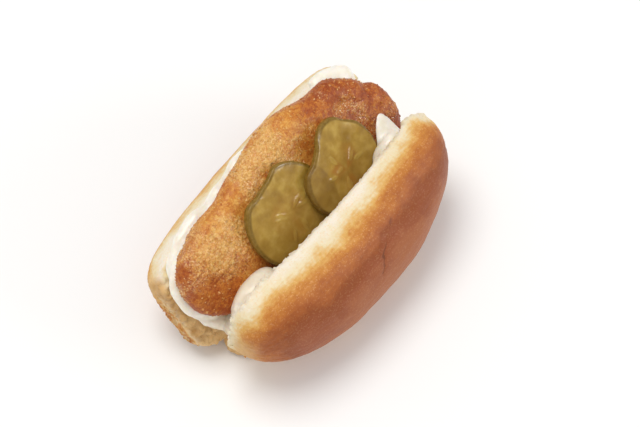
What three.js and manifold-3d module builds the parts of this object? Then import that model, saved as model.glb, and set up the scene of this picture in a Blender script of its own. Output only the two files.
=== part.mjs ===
// A fish slider: a small soft roll, sliced along one side and opened like a book, that
// holds a breaded fish fillet, two slices of gherkin and mayonnaise. It lies on the fold
// of the roll with its opening up.
//
// Millimetres. +X runs along the roll, +Y points to its flatter half, which is the base of
// the loaf, and +Z is up. The origin is on the ground under the middle of the whole.

import * as THREE from "three";
import { mergeVertices } from "three/addons/utils/BufferGeometryUtils.js";
import Module from "manifold-3d";

const wasm = await Module();
wasm.setup();

// ---------------------------------------------------------------- driving dimensions

const rollLength = 106;
const seamGap = 0.3; // clearance between pieces that touch

// A leaf is one half of the opened roll: a flat cut face with a crust behind it.
// root is where the cut face starts, at the fold; slope is the face's angle above the
// horizontal; side is +1 for the half that leans to +Y and -1 for the one on -Y.
const baseLeaf = {
  side: 1,
  root: { y: -1.5, z: 5.7 },
  slope: 50,
  length: rollLength,
  width: 41.3, // from the fold to the free edge
  depth: 16, // from the cut face to the crust
  waist: 6, // how far behind the cut face the leaf is widest
  taper: 0.06, // how much wider the +X end is than the middle, as a share
  bow: 0, // how far the middle stands behind the ends
  rise: 0, // how far the ends of the free edge are lifted along the face
  rimPlan: 5, // power of the outline's upper half: 2 is an ellipse, more is squarer
  foldPlan: 6, // power of the outline's lower half
  dome: 3.7, // power of the crust's cross-section
  blunt: 2.7, // power of the crust's profile along the roll
};
const crownLeaf = {
  side: -1,
  root: { y: -6, z: -0.6 },
  slope: 87.6,
  length: rollLength - 3,
  width: 44,
  depth: 25.4,
  waist: 4.2,
  taper: 0,
  bow: 2,
  rise: 6.2,
  rimPlan: 3.6,
  foldPlan: 2.3,
  dome: 2.1,
  blunt: 2.35,
};
const hinge = { y: -3, z: 3, width: 24, height: 12, length: 90 };

// The fillet lies on the base leaf's cut face.
const fish = {
  x: 0,
  length: 101,
  width: 37.4,
  thickness: 14.5,
  along: 25.4, // from the fold to the middle of the fillet, up the face
  lift: 1.6, // from the face to the fillet
  outline: { low: 2.9, high: 3.8 }, // power of the outline, at the -X end and the +X end
  edge: 2.8,
  slant: 4.8, // how much less the +X end reaches on its upper side than in the middle
  skew: 1.7, // how much higher than the middle the -X end lies, and how much lower the other
  // where the upper side swells past the roll
  bulges: [{ x: 9.5, reach: 19.5, height: 6.8 }, { x: 37, reach: 7.5, height: 4.6 }],
  pits: 0.9, // depth of the dips in its crust
  lobes: 0.015, // how far its outline strays, as a share
};

const gherkin = {
  thickness: 3,
  sagStart: 18, // how far up the face a slice starts to bend down over the fillet's edge
  sag: 3.2, // how far it has bent 10 mm below that
};
// strays: where a slice's outline leaves the round, as an angle from +X up the face, how
// far to either side of it, both in degrees, and how far out, as a share of the radius
const lowerSlice = {
  x: -7.9,
  along: 26.1,
  radius: 17.3,
  step: 0,
  strays: [{ at: 103, reach: 24, height: -0.16 }],
};
const upperSlice = {
  x: 17.2,
  along: 23.3,
  radius: 16.5,
  step: gherkin.thickness + 0.4,
  strays: [
    { at: 76, reach: 20, height: 0.09 },
    { at: 124, reach: 18, height: -0.1 },
    { at: 172, reach: 30, height: 0.08 },
  ],
};

// Mayonnaise: a layer behind the fillet, a filling in the fold, and dollops in the opening.
const mayoLayer = { ...fish, x: -0.9, length: 103, lift: seamGap, thickness: 8, width: 34.5 };
mayoLayer.outline = { low: 2.9, high: 3.8 };
mayoLayer.skew = 0;
mayoLayer.pits = 0;
mayoLayer.bulges = [{ x: 4, reach: 15, height: 4 }, { x: 37, reach: 7.5, height: 4.6 }];
const mayoFold = { x: -1, y: -2.9, z: 13, length: 88, width: 14, height: 14 };
const mayoDollops = [
  { x: -34, y: -5.4, z: 24.5, length: 22, width: 11, height: 24 },
  { x: 35, y: -6.9, z: 25, length: 17, width: 9, height: 27 },
];
// A flap of mayonnaise that stands on a dollop and leans on the fillet; its tip is blunt.
const mayoFlap = {
  from: { x: 36, y: -8.4, z: 29 },
  to: { x: 40.7, y: 2.5, z: 37.7 },
  width: 15,
  thickness: 6,
  taper: 0.7, // how much narrower than the middle the tip is, as a share
  blunt: 2.5, // power of its outline
};
const mayoTop = { x: 38.5, up: 38.6, out: -4.5, length: 19, width: 13, height: 8.5 };

// ---------------------------------------------------------------- small helpers

const signedPower = (value, power) => Math.sign(value) * Math.abs(value) ** power;
const rounded = (value, power) => (1 - Math.abs(value) ** power) ** (1 / power);
const degrees = THREE.MathUtils.degToRad;
const smooth = (low, high, value) => THREE.MathUtils.smoothstep(value, low, high);

// The point that lies x along the roll, `up` from the fold along a leaf's cut face and
// `out` behind that face; a negative `out` is inside the opening.
function onLeaf(leaf, x, up, out) {
  const angle = degrees(leaf.slope);
  const y = leaf.root.y + leaf.side * (up * Math.cos(angle) + out * Math.sin(angle));
  const z = leaf.root.z + up * Math.sin(angle) - out * Math.cos(angle);
  return new THREE.Vector3(x, y, z);
}

// A closed surface of rings between two poles. pointAt(v, u) gives a point, with v from 0
// at one pole to 1 at the other and u from 0 to 1 once round a ring.
function closedSurface(rings, sectors, pointAt) {
  const points = [pointAt(0, 0)];
  for (let ring = 1; ring < rings; ring++) {
    for (let sector = 0; sector < sectors; sector++) {
      points.push(pointAt(ring / rings, sector / sectors));
    }
  }
  points.push(pointAt(1, 0));

  const last = points.length - 1;
  const at = (ring, sector) => 1 + (ring - 1) * sectors + (sector % sectors);
  const faces = [];
  for (let sector = 0; sector < sectors; sector++) {
    faces.push(0, at(1, sector), at(1, sector + 1));
    faces.push(last, at(rings - 1, sector + 1), at(rings - 1, sector));
    for (let ring = 1; ring < rings - 1; ring++) {
      const corners = [at(ring, sector), at(ring + 1, sector), at(ring + 1, sector + 1)];
      faces.push(...corners, at(ring, sector), at(ring + 1, sector + 1), at(ring, sector + 1));
    }
  }
  return new THREE.BufferGeometry().setFromPoints(points).setIndex(faces);
}

// The solid that a closed geometry bounds, turned so that its faces point out.
function solidOf(geometry) {
  const bare = geometry.clone();
  bare.deleteAttribute("normal");
  bare.deleteAttribute("uv");
  const merged = mergeVertices(bare, 1e-4);
  const triVerts = new Uint32Array(merged.index.array);
  const vertProperties = merged.attributes.position.array;
  const make = () => new wasm.Manifold(new wasm.Mesh({ numProp: 3, vertProperties, triVerts }));
  if (make().volume() < 0) {
    triVerts.reverse();
  }
  return make();
}

const largestBody = (solid) => solid.decompose().sort((a, b) => b.volume() - a.volume())[0];

function geometryOf(solid) {
  const mesh = solid.getMesh();
  const positions = new THREE.BufferAttribute(new Float32Array(mesh.vertProperties), 3);
  const geometry = new THREE.BufferGeometry().setAttribute("position", positions);
  return geometry.setIndex(new THREE.BufferAttribute(mesh.triVerts, 1));
}

// An ellipsoid, or with a power over 2 a squarer one, of three full sizes.
function lumpSolid(lengths, power, pointAt, rings = 10, sectors = 14) {
  return solidOf(closedSurface(rings, sectors, (v, u) => {
    const end = -Math.cos(Math.PI * v);
    const girth = rounded(end, power);
    const a = girth * signedPower(Math.cos(2 * Math.PI * u), 2 / power);
    const b = girth * signedPower(Math.sin(2 * Math.PI * u), 2 / power);
    return pointAt((lengths[0] / 2) * end, (lengths[1] / 2) * a, (lengths[2] / 2) * b);
  }));
}

// The same, in the part's frame, from a row of dimensions.
function lumpAt(row, power, grow = 0, rings = 10, sectors = 14) {
  const lengths = [row.length, row.width, row.height].map((length) => length + 2 * grow);
  const pointAt = (x, y, z) => new THREE.Vector3(row.x + x, row.y + y, row.z + z);
  return lumpSolid(lengths, power, pointAt, rings, sectors);
}

// ---------------------------------------------------------------- roll

// One leaf. It is widest at its waist: behind that the crust domes, and before it the side
// runs nearly straight to the cut face, which it meets in a tight corner.
function leafSolid(leaf, grow, rings = 28, sectors = 28) {
  const half = leaf.width / 2;
  return solidOf(closedSurface(rings, sectors, (v, u) => {
    const end = -Math.cos(Math.PI * v);
    const across = Math.cos(2 * Math.PI * u);
    const behind = Math.sin(2 * Math.PI * u);
    const isCrust = behind > 0;
    const power = isCrust ? leaf.dome : 6;
    const spread = rounded(end, across > 0 ? leaf.rimPlan : leaf.foldPlan);
    const reach = (isCrust ? leaf.depth - leaf.waist : leaf.waist) + grow;
    const profile = rounded(end, isCrust ? leaf.blunt : 8);
    const x = (leaf.length / 2 + grow) * end;
    const level = half + (half + grow) * spread * signedPower(across, 2 / power);
    const lift = leaf.rise * end ** 2 * (0.5 + (0.5 * level) / leaf.width);
    const up = level * (1 + leaf.taper * end) + lift;
    const waist = leaf.waist + leaf.bow * (1 - end ** 2);
    return onLeaf(leaf, x, up, waist + reach * profile * signedPower(behind, 2 / power));
  }));
}

function rollSolid(grow = 0) {
  const fold = lumpAt({ x: 0, ...hinge }, 2.5, grow, 20, 24);
  const whole = leafSolid(baseLeaf, grow).add(leafSolid(crownLeaf, grow)).add(fold);
  const aboveGround = new THREE.BoxGeometry(200, 200, 200).translate(0, 0, 100 - grow);
  return whole.intersect(solidOf(aboveGround));
}

// ---------------------------------------------------------------- filling

// A fillet, or a layer of the same outline: a pillow on the base leaf's cut face.
function filletSolid(shape, grow = 0, rings = 20, sectors = 54) {
  const half = shape.thickness / 2;
  return solidOf(closedSurface(rings, sectors, (v, u) => {
    const tilt = Math.PI * (v - 0.5);
    const turn = 2 * Math.PI * u;
    const reach = Math.cos(tilt) ** (2 / shape.edge);
    const atHigh = smooth(-0.6, 0.6, Math.cos(turn));
    const power = THREE.MathUtils.lerp(shape.outline.low, shape.outline.high, atHigh);
    const stray = 1 + shape.lobes * atHigh * (Math.sin(5 * turn + 1) + Math.sin(8 * turn));
    const lengthwise = reach * stray * signedPower(Math.cos(turn), 2 / power);
    const across = reach * stray * signedPower(Math.sin(turn), 2 / power);
    const slant = shape.slant * across * smooth(0, 1, lengthwise);
    const x = shape.x + (shape.length / 2 + grow) * lengthwise - slant;
    let halfWidth = shape.width / 2 + grow;
    for (const bulge of across > 0 ? shape.bulges : []) {
      halfWidth += bulge.height * Math.exp(-(((x - bulge.x) / bulge.reach) ** 2));
    }
    const up = shape.along + halfWidth * across - shape.skew * lengthwise;
    const dip = shape.pits * (0.5 + 0.25 * (Math.sin(x / 4) + Math.sin(up / 3 + x / 7)));
    const rise = (half + grow - dip) * signedPower(Math.sin(tilt), 2 / shape.edge);
    return onLeaf(baseLeaf, x, up, -(shape.lift + half + rise));
  }));
}

// A slice of gherkin. It lies on the fillet and bends down over the fillet's lower edge;
// `step` lifts it where it overlaps the other slice.
function gherkinSolid(slice, grow = 0) {
  const half = gherkin.thickness / 2;
  const otherEdge = lowerSlice.x + lowerSlice.radius;
  return solidOf(closedSurface(12, 32, (v, u) => {
    const share = Math.sin((Math.PI / 2) * (1 - Math.abs(2 * v - 1)) ** 0.8);
    let outline = 1;
    for (const stray of slice.strays) {
      outline += stray.height * Math.exp(-(((360 * u - stray.at) / stray.reach) ** 4));
    }
    const reach = (slice.radius * outline + grow) * share;
    const x = slice.x + reach * Math.cos(2 * Math.PI * u);
    const up = slice.along + reach * Math.sin(2 * Math.PI * u);
    const step = slice.step * (1 - smooth(otherEdge - 1, otherEdge + 17, x));
    const sag = gherkin.sag * (Math.max(0, gherkin.sagStart - up) / 10) ** 2;
    const middle = fish.lift + fish.thickness + seamGap + half + step - sag;
    const rise = (half + grow) * Math.sign(v - 0.5) * rounded(share, 6);
    return onLeaf(baseLeaf, x, up, -(middle + rise));
  }));
}

// A flattened drop between two points, which narrows towards the second.
function flapSolid(flap) {
  const from = new THREE.Vector3(flap.from.x, flap.from.y, flap.from.z);
  const to = new THREE.Vector3(flap.to.x, flap.to.y, flap.to.z);
  const middle = from.clone().add(to).divideScalar(2);
  const half = to.clone().sub(middle);
  const side = new THREE.Vector3(1, 0, 0).addScaledVector(half, -half.x / half.lengthSq());
  side.normalize();
  const through = half.clone().cross(side).normalize();
  return solidOf(closedSurface(12, 16, (v, u) => {
    const end = -Math.cos(Math.PI * v);
    const girth = rounded(end, flap.blunt) * (1 - flap.taper * (end + 1) / 2);
    const point = middle.clone().addScaledVector(half, end);
    point.addScaledVector(side, (flap.width / 2) * girth * Math.cos(2 * Math.PI * u));
    return point.addScaledVector(through, (flap.thickness / 2) * girth * Math.sin(2 * Math.PI * u));
  }));
}

function mayonnaiseSolid() {
  const topLengths = [mayoTop.length, mayoTop.width, mayoTop.height];
  const onTop = (x, up, out) =>
    onLeaf(baseLeaf, mayoTop.x + x, mayoTop.up + up, mayoTop.out + out);
  let spread = filletSolid(mayoLayer, 0, 14, 36)
    .add(lumpSolid(topLengths, 2.3, onTop))
    .add(flapSolid(mayoFlap))
    .add(lumpAt(mayoFold, 3.2, 0, 16, 16));
  for (const dollop of mayoDollops) {
    spread = spread.add(lumpAt(dollop, 2.3));
  }
  const room = spread
    .subtract(rollSolid(seamGap))
    .subtract(filletSolid(fish, seamGap))
    .subtract(gherkinSolid(lowerSlice, seamGap))
    .subtract(gherkinSolid(upperSlice, seamGap));
  return largestBody(room);
}

// ---------------------------------------------------------------- assembly

function piece(name, solid, colour, roughness) {
  const material = new THREE.MeshStandardMaterial({ color: colour, roughness, metalness: 0 });
  const mesh = new THREE.Mesh(geometryOf(solid), material);
  mesh.name = name;
  return mesh;
}

// The soft crumb of the near half is dented where the slices press on it.
const dented = rollSolid()
  .subtract(gherkinSolid(lowerSlice, seamGap))
  .subtract(gherkinSolid(upperSlice, seamGap));

const slider = new THREE.Group();
slider.name = "fish_slider";
slider.add(piece("roll", largestBody(dented), "#b9703c", 0.6));
slider.add(piece("fish_fillet", filletSolid(fish), "#c98a3e", 0.6));
slider.add(piece("gherkin_lower", gherkinSolid(lowerSlice), "#a08238", 0.3));
slider.add(piece("gherkin_upper", gherkinSolid(upperSlice), "#a08238", 0.3));
slider.add(piece("mayonnaise", mayonnaiseSolid(), "#f4ecdc", 0.3));

export default slider;
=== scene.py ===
# %% [markdown]
# # A fish slider
# A small soft roll is sliced along one side and opened like a book. It holds a breaded fish
# fillet, two slices of gherkin and mayonnaise, and lies on its fold with the opening up.
# This lesson dresses its plain solids: each piece is worked out again as a fine surface of
# the same formulas, then gets the relief and the finish of the real food.

# %% Load the plain model
import bpy
import numpy as np
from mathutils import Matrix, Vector


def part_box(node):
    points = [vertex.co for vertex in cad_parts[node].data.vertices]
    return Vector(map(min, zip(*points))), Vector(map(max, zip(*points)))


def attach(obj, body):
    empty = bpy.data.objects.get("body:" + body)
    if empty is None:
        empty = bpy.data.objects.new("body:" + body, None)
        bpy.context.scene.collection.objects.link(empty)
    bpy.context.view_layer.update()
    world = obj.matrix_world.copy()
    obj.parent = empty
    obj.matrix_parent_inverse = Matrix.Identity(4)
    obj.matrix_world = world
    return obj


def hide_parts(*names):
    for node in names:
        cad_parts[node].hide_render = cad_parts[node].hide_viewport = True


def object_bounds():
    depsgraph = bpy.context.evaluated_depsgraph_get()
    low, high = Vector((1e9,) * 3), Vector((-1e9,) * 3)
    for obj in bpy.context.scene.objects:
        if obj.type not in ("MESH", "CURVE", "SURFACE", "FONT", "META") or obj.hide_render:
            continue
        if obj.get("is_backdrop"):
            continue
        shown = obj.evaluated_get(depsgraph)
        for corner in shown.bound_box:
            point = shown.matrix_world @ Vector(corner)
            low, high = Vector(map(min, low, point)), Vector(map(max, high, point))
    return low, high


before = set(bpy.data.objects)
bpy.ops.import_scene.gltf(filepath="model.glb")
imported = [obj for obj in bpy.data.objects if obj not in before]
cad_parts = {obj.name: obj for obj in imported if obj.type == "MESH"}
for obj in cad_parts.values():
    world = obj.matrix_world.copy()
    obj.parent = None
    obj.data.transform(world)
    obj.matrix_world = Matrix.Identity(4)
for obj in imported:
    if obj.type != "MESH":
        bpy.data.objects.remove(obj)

MM = 0.001
cad_box = [list(corner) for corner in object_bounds()]
for corner in cad_box:
    print("corner of the plain model, mm:", [round(value / MM, 1) for value in corner])

# %% [markdown]
# ## The view
# The slider is seen from above its domed half, from rather far away, so that it hardly
# tapers. A near camera with a wide lens would swell the near half. The camera looks at a
# point in the filling, and a small lens shift sets where that point falls in the picture.

# %% Camera
azimuth, elevation = np.radians(-51.8), np.radians(60.0)
camera_distance = 700 * MM
frame_width = 211.2 * MM  # what the picture's width covers at the target
target = np.array([0, -0.8, 24]) * MM
back = np.array([
    np.sin(azimuth) * np.cos(elevation),
    -np.cos(azimuth) * np.cos(elevation),
    np.sin(elevation),
])

lens = bpy.data.cameras.new("camera")
lens.sensor_width = 36
lens.lens = lens.sensor_width * camera_distance / frame_width
lens.shift_x, lens.shift_y = 0.0147, 0.0130
camera = bpy.data.objects.new("camera", lens)
bpy.context.scene.collection.objects.link(camera)
bpy.context.scene.camera = camera


def look_from(thing, place, towards):
    """Puts a camera or lamp at a place with its -Z axis along the line to another point."""
    thing.location = place
    thing.rotation_euler = (Vector(towards) - Vector(place)).to_track_quat("-Z", "Y").to_euler()


look_from(camera, target + back * camera_distance, target)
print("lens, mm:", round(lens.lens, 1))

# %% [markdown]
# ## Driving dimensions
# The roll is two leaves, each a flat cut face with a crust behind it. They could be traced
# by eye, but the same few named sizes that shape the plain solids keep both models alike.
# All sizes are in millimetres, and the roll's length comes from the plain model's box.
#
# x runs along the roll. A leaf's slope is in degrees, its powers (rim_plan, fold_plan, dome,
# blunt, edge, low, high) square its rounds, and rise and bow bend its face. A stray is a
# swelling or dent of a slice: where it is in degrees, its reach, and its share of the radius.

# %% Sizes of the roll and its filling
roll_length = (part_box("roll")[1].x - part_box("roll")[0].x) / MM
fish_length = 101.0
seam_gap = 0.3
cut_power, cut_end_power = 6, 8  # these keep a cut face nearly flat out to its edges

base_leaf = dict(
    side=1, y=-1.5, z=5.7, slope=50, length=roll_length, width=41.3, depth=16, waist=6,
    taper=0.06, bow=0, rise=0, rim_plan=5, fold_plan=6, dome=3.7, blunt=2.7,
)
crown_leaf = dict(
    side=-1, y=-6, z=-0.6, slope=87.6, length=roll_length - 3, width=44, depth=25.4, waist=4.2,
    taper=0, bow=2, rise=6.2, rim_plan=3.6, fold_plan=2.3, dome=2.1, blunt=2.35,
)
hinge = dict(x=0, y=-3, z=3, width=24, height=12, length=90)

fish = dict(
    x=0, length=fish_length, width=37.4, thickness=14.5, along=25.4, lift=1.6, low=2.9, high=3.8,
    edge=2.8, slant=4.8, skew=1.7, pits=0.9, lobes=0.015,
    bulges=[dict(x=9.5, reach=19.5, height=6.8), dict(x=37, reach=7.5, height=4.6)],
)
gherkin = dict(thickness=3, sag_start=18, sag=3.2)
lower_slice = dict(
    x=-7.9, along=26.1, radius=17.3, step=0, heart=0.35,
    strays=[dict(at=103, reach=24, height=-0.16)],
)
upper_slice = dict(
    x=17.2, along=23.3, radius=16.5, step=gherkin["thickness"] + 0.4, heart=0.8,
    strays=[
        dict(at=76, reach=20, height=0.09), dict(at=124, reach=18, height=-0.1),
        dict(at=172, reach=30, height=0.08),
    ],
)

mayo_layer = fish | dict(
    x=-0.9, length=103, lift=seam_gap, thickness=8, width=34.5, low=2.9, skew=0, pits=0,
    bulges=[dict(x=4, reach=15, height=4), dict(x=37, reach=7.5, height=4.6)],
)
mayo_fold = dict(x=-1, y=-2.9, z=13, length=88, width=14, height=14)
mayo_dollops = [
    dict(x=-34, y=-5.4, z=24.5, length=22, width=11, height=24),
    dict(x=35, y=-6.9, z=25, length=17, width=9, height=27),
]
mayo_flap = dict(
    start=(36, -8.4, 29), stop=(40.7, 2.5, 37.7), width=15, thickness=6, taper=0.7, blunt=2.5,
)
mayo_top = dict(x=38.5, up=38.6, out=-4.5, length=19, width=13, height=8.5)
print("lengths of roll and fillet, mm:", round(roll_length, 1), fish_length)

# %% [markdown]
# ## Shapes from two parameters
# Every surface here is a grid of points worked out at once with numpy: v runs from one
# pole to the other, and u runs once round. A power over 2 turns an ellipse into a squarer
# outline, which is how bread that has been pressed and cut differs from an egg. Sculpting
# would give such forms too, but formulas keep each size in its own named value.


# %% Curves
def signed_power(value, power):
    """The sign of a value times its size to a power."""
    return np.sign(value) * np.abs(value) ** power


def rounded(value, power):
    """The height of a round of unit size: (1 - |value|^power)^(1/power)."""
    return np.maximum(0, 1 - np.abs(value) ** power) ** (1 / power)


def smooth(low, high, value):
    """0 below low, 1 above high, and 3t^2 - 2t^3 between them."""
    t = np.clip((value - low) / (high - low), 0, 1)
    return t * t * (3 - 2 * t)


def bell(distance, reach):
    """1 at no distance, falling as exp(-(distance/reach)^2)."""
    return np.exp(-((distance / reach) ** 2))


def on_leaf(leaf, x, up, out):
    """The point x along the roll, up the cut face from the fold, and out behind that face:
    y = root + side (up cos + out sin) and z = root + up sin - out cos of the slope."""
    angle = np.radians(leaf["slope"])
    y = leaf["y"] + leaf["side"] * (up * np.cos(angle) + out * np.sin(angle))
    z = leaf["z"] + up * np.sin(angle) - out * np.cos(angle)
    return np.stack(np.broadcast_arrays(x, y, z), -1)


def leaf_place(leaf, points):
    """The x, up and out of points, which undoes on_leaf."""
    angle = np.radians(leaf["slope"])
    y = (points[:, 1] - leaf["y"]) * leaf["side"]
    z = points[:, 2] - leaf["z"]
    up = y * np.cos(angle) + z * np.sin(angle)
    out = y * np.sin(angle) - z * np.cos(angle)
    return points[:, 0], up, out


def pole_grid(rings, sectors):
    """v from 0 to 1 down the rows, and u from 0 to just under 1 along them."""
    v = np.linspace(0, 1, rings + 1)[:, None]
    u = np.arange(sectors)[None, :] / sectors
    return np.broadcast_arrays(v, u)


print("top of the far rim, mm:", on_leaf(base_leaf, 0, base_leaf["width"], 0).round(1))


# %% Surfaces of the roll and the lumps
def leaf_spread(leaf, end, across):
    """How far a leaf still reaches up or down its face at each share of its length."""
    plan_at_rim, plan_at_fold = rounded(end, leaf["rim_plan"]), rounded(end, leaf["fold_plan"])
    return np.where(across > 0, plan_at_rim, plan_at_fold)


def leaf_surface(leaf, grow=0.0, rings=150, sectors=220):
    """One leaf: end = -cos(pi v) runs along it, across = cos(2 pi u) goes up the cut face
    and behind = sin(2 pi u) into the crust, each raised to the powers that square it."""
    v, u = pole_grid(rings, sectors)
    end, across, behind = -np.cos(np.pi * v), np.cos(2 * np.pi * u), np.sin(2 * np.pi * u)
    is_crust = behind > 0
    power = np.where(is_crust, leaf["dome"], cut_power)
    half = leaf["width"] / 2
    spread = leaf_spread(leaf, end, across)
    reach = np.where(is_crust, leaf["depth"] - leaf["waist"], leaf["waist"]) + grow
    profile = np.where(is_crust, rounded(end, leaf["blunt"]), rounded(end, cut_end_power))
    level = half + (half + grow) * spread * signed_power(across, 2 / power)
    lift = leaf["rise"] * end ** 2 * (0.5 + 0.5 * level / leaf["width"])
    up = level * (1 + leaf["taper"] * end) + lift
    waist = leaf["waist"] + leaf["bow"] * (1 - end ** 2)
    out = waist + reach * profile * signed_power(behind, 2 / power)
    return on_leaf(leaf, (leaf["length"] / 2 + grow) * end, up, out)


def lump_surface(lengths, power, place, rings=60, sectors=90):
    """A squarish ellipsoid of three full sizes, set down by place(x, y, z)."""
    v, u = pole_grid(rings, sectors)
    end = -np.cos(np.pi * v)
    girth = rounded(end, power)
    a = girth * signed_power(np.cos(2 * np.pi * u), 2 / power)
    b = girth * signed_power(np.sin(2 * np.pi * u), 2 / power)
    return place(lengths[0] / 2 * end, lengths[1] / 2 * a, lengths[2] / 2 * b)


def lump_at(row, power, grow=0.0, rings=60, sectors=90):
    """The same, with its middle and sizes in a row of named values."""
    lengths = [row[key] + 2 * grow for key in ("length", "width", "height")]
    middle = [row[key] for key in "xyz"]

    def place(x, y, z):
        """Lengthwise, sideways and upright distances as points round the middle."""
        return np.stack(np.broadcast_arrays(x, y, z), -1) + middle

    return lump_surface(lengths, power, place, rings, sectors)


print("grids of the roll:", [leaf_surface(leaf).shape for leaf in (base_leaf, crown_leaf)])


# %% Surface of the fillet
def fillet_surface(shape, grow=0.0, rings=90, sectors=360):
    """A pillow on the base leaf's cut face: its outline is a squared ellipse with faint
    lobes at the +X end and bell-shaped swellings on its upper side, and its edge is round."""
    v, u = pole_grid(rings, sectors)
    half = shape["thickness"] / 2
    tilt, turn = np.pi * (v - 0.5), 2 * np.pi * u
    reach = np.maximum(0, np.cos(tilt)) ** (2 / shape["edge"])
    at_high = smooth(-0.6, 0.6, np.cos(turn))
    power = shape["low"] + (shape["high"] - shape["low"]) * at_high
    stray = 1 + shape["lobes"] * at_high * (np.sin(5 * turn + 1) + np.sin(8 * turn))
    lengthwise = reach * stray * signed_power(np.cos(turn), 2 / power)
    across = reach * stray * signed_power(np.sin(turn), 2 / power)
    slant = shape["slant"] * across * smooth(0, 1, lengthwise)
    x = shape["x"] + (shape["length"] / 2 + grow) * lengthwise - slant
    swell = sum(row["height"] * bell(x - row["x"], row["reach"]) for row in shape["bulges"])
    half_width = shape["width"] / 2 + grow + np.where(across > 0, swell, 0)
    up = shape["along"] + half_width * across - shape["skew"] * lengthwise
    dip = shape["pits"] * (0.5 + 0.25 * (np.sin(x / 4) + np.sin(up / 3 + x / 7)))
    rise = (half + grow - dip) * signed_power(np.sin(tilt), 2 / shape["edge"])
    return on_leaf(base_leaf, x, up, -(shape["lift"] + half + rise))


print("grid of the fillet:", fillet_surface(fish).shape)


# %% Surface of a gherkin slice
def slice_place(which, along_x, along_up):
    """How far the middle of a slice stands in front of the base leaf's face: it lies on the
    fillet, steps up where it overlaps the other slice, and sags over the fillet's edge."""
    other_edge = lower_slice["x"] + lower_slice["radius"]
    step = which["step"] * (1 - smooth(other_edge - 1, other_edge + 17, along_x))
    sag = gherkin["sag"] * (np.maximum(0, gherkin["sag_start"] - along_up) / 10) ** 2
    return fish["lift"] + fish["thickness"] + seam_gap + gherkin["thickness"] / 2 + step - sag


def slice_radius(which, turn):
    """The radius at a turn in degrees: swellings and dents exp(-((turn - at)/reach)^4)."""
    strays = sum(
        row["height"] * np.exp(-((turn - row["at"]) / row["reach"]) ** 4)
        for row in which["strays"]
    )
    return which["radius"] * (1 + strays)


def slice_surface(which, grow=0.0, rings=100, sectors=260):
    """A disc whose share of the radius is sin(pi/2 (1 - |2v - 1|)^0.8), and whose two faces
    close in a round of power 6 at the rim."""
    v, u = pole_grid(rings, sectors)
    share = np.sin(np.pi / 2 * (1 - np.abs(2 * v - 1)) ** 0.8)
    reach = (slice_radius(which, 360 * u) + grow) * share
    x = which["x"] + reach * np.cos(2 * np.pi * u)
    up = which["along"] + reach * np.sin(2 * np.pi * u)
    rise = (gherkin["thickness"] / 2 + grow) * np.sign(v - 0.5) * rounded(share, 6)
    return on_leaf(base_leaf, x, up, -(slice_place(which, x, up) + rise))


print("grid of a slice:", slice_surface(lower_slice).shape)


# %% Surfaces of the mayonnaise
def flap_surface(flap, rings=60, sectors=90):
    """A flattened drop between two points: end = -cos(pi v) runs from the first to the
    second, and the girth rounded(end, blunt) loses a share that grows towards the second."""
    v, u = pole_grid(rings, sectors)
    start, stop = np.array(flap["start"], float), np.array(flap["stop"], float)
    half = (stop - start) / 2
    side = np.array([1, 0, 0]) - half * half[0] / (half @ half)
    side /= np.linalg.norm(side)
    through = np.cross(half, side)
    through /= np.linalg.norm(through)
    end = -np.cos(np.pi * v)
    girth = rounded(end, flap["blunt"]) * (1 - flap["taper"] * (end + 1) / 2)
    sideways = flap["width"] / 2 * girth * np.cos(2 * np.pi * u)
    deep = flap["thickness"] / 2 * girth * np.sin(2 * np.pi * u)
    middle = (start + stop) / 2 + end[..., None] * half
    return middle + sideways[..., None] * side + deep[..., None] * through


def rope_surface(path, half_widths, rings=240, sectors=24):
    """A soft rope through given places: between two of them, a cubic through those and
    their neighbours gives place and half-width, and rounds stand square to the path."""
    v, u = pole_grid(rings, sectors)
    rows = np.column_stack([path, half_widths])
    rows = np.vstack([2 * rows[0] - rows[1], rows, 2 * rows[-1] - rows[-2]])
    place = v[:, 0] * (len(path) - 1)
    first = np.minimum(place.astype(int), len(path) - 2)
    t = (place - first)[:, None]
    a, b, c, d = (rows[first + step] for step in range(4))
    bend, twist = 2 * a - 5 * b + 4 * c - d, 3 * b - a - 3 * c + d
    between = 0.5 * (2 * b + (c - a) * t + bend * t ** 2 + twist * t ** 3)
    centre, girth = between[:, :3], between[:, 3] * rounded(2 * v[:, 0] - 1, 6)
    ahead = np.gradient(centre, axis=0)
    ahead /= np.linalg.norm(ahead, axis=1)[:, None]
    angle = np.radians(base_leaf["slope"])
    side = np.cross(ahead, [0, -np.sin(angle), np.cos(angle)])
    side /= np.linalg.norm(side, axis=1)[:, None]
    rise = np.cross(side, ahead)
    cosine, sine = np.cos(2 * np.pi * u)[..., None], np.sin(2 * np.pi * u)[..., None]
    around = side[:, None] * cosine + rise[:, None] * sine
    return centre[:, None] + girth[:, None, None] * around


print("grid of the flap:", flap_surface(mayo_flap).shape)

# %% [markdown]
# ## From grids to pieces
# The two leaves and the fold between them overlap, as do the lumps of mayonnaise. A voxel
# remesh puts one even skin round them, with soft creases where they meet, and its small
# even faces are what the relief needs next. The grids themselves would leave hidden walls.


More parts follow.
